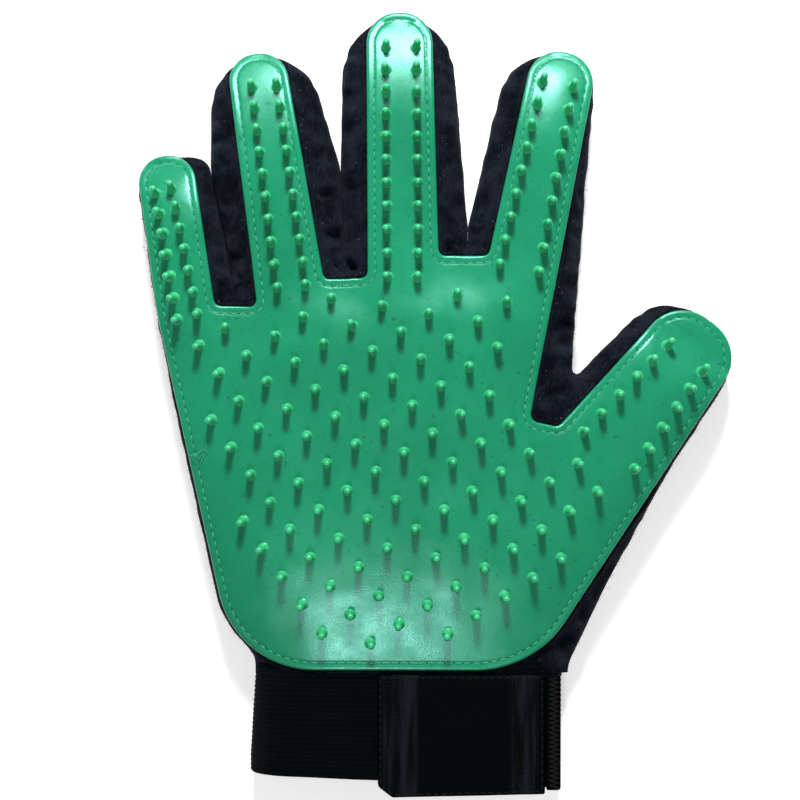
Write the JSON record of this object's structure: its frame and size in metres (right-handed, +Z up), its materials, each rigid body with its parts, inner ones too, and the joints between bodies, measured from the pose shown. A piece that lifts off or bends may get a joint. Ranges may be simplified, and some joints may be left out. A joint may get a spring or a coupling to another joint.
{
  "type": "grooming glove",
  "caption": "Right-hand pet grooming glove: hollow fabric glove with a sewn-on soft rubber pad of blunt pins over the palm and digits, and an elastic cuff with a hook tape tab.",
  "frame": {"origin": "under the middle of the glove, on the flat surface that its back lies on", "axes": "+Z up out of the palm, pins up; +Y towards the fingertips; +X towards the thumb side"},
  "size_m": [0.1815, 0.2397, 0.0246],
  "materials": {
    "green_rubber": "satin",
    "green_thread": "matt",
    "black_thread": "matt",
    "brushed_knit": "matt",
    "mesh_fabric": "matt",
    "ribbed_elastic": "matt",
    "seam_tape": "matt",
    "tab_tape": "satin",
    "hook_field": "matt",
    "loop_pile": "matt"
  },
  "bodies": {
    "hand": {"back_panel": "mesh_fabric", "cuff_band": "ribbed_elastic", "cuff_seam_tape": "seam_tape", "little_ring_crotch": "brushed_knit", "little_side_panel": "brushed_knit", "loop_patch": "loop_pile", "middle_index_crotch": "brushed_knit", "palm_fabric": "brushed_knit", "palm_pad": "green_rubber", "palm_stitching": "green_thread", "ring_middle_crotch": "brushed_knit", "tab_anchor": "ribbed_elastic", "tab_zigzag_stitching": "black_thread", "thumb_crotch_panel": "brushed_knit", "thumb_side_panel": "brushed_knit"},
    "little": {"little_back": "mesh_fabric", "little_left_side": "brushed_knit", "little_pad_strip": "green_rubber", "little_palm_side": "brushed_knit", "little_right_side": "brushed_knit", "little_stitching": "green_thread"},
    "ring": {"ring_back": "mesh_fabric", "ring_left_side": "brushed_knit", "ring_pad_strip": "green_rubber", "ring_palm_side": "brushed_knit", "ring_right_side": "brushed_knit", "ring_stitching": "green_thread"},
    "middle": {"middle_back": "mesh_fabric", "middle_left_side": "brushed_knit", "middle_pad_strip": "green_rubber", "middle_palm_side": "brushed_knit", "middle_right_side": "brushed_knit", "middle_stitching": "green_thread"},
    "index": {"index_back": "mesh_fabric", "index_left_side": "brushed_knit", "index_pad_strip": "green_rubber", "index_palm_side": "brushed_knit", "index_right_side": "brushed_knit", "index_stitching": "green_thread"},
    "thumb": {"thumb_back": "mesh_fabric", "thumb_left_side": "brushed_knit", "thumb_pad_strip": "green_rubber", "thumb_palm_side": "brushed_knit", "thumb_right_side": "brushed_knit", "thumb_stitching": "green_thread"},
    "strap": {"hook_tape_tab": "tab_tape", "hook_patch": "hook_field"}
  },
  "joints": [
    {"name": "little_fold", "type": "hinge", "parent": "hand", "child": "little", "pos_m": [-0.076, 0.0315, 0.0216], "axis": [0.9863, 0.165, 0], "range_deg": [0, 75]},
    {"name": "ring_fold", "type": "hinge", "parent": "hand", "child": "ring", "pos_m": [-0.045, 0.0403, 0.0216], "axis": [0.9903, 0.1392, 0], "range_deg": [0, 75]},
    {"name": "middle_fold", "type": "hinge", "parent": "hand", "child": "middle", "pos_m": [-0.01, 0.0508, 0.0216], "axis": [0.9998, 0.0174, 0], "range_deg": [0, 75]},
    {"name": "index_fold", "type": "hinge", "parent": "hand", "child": "index", "pos_m": [0.027, 0.046, 0.0216], "axis": [0.9796, -0.2011, 0], "range_deg": [0, 75]},
    {"name": "thumb_fold", "type": "hinge", "parent": "hand", "child": "thumb", "pos_m": [0.0439, 0.0092, 0.0216], "axis": [0.7859, -0.6184, 0], "range_deg": [0, 60]},
    {"name": "tab_peel", "type": "hinge", "parent": "hand", "child": "strap", "pos_m": [0.0336, -0.1, 0.0201], "axis": [0, 1, 0], "range_deg": [0, 150]}
  ]
}
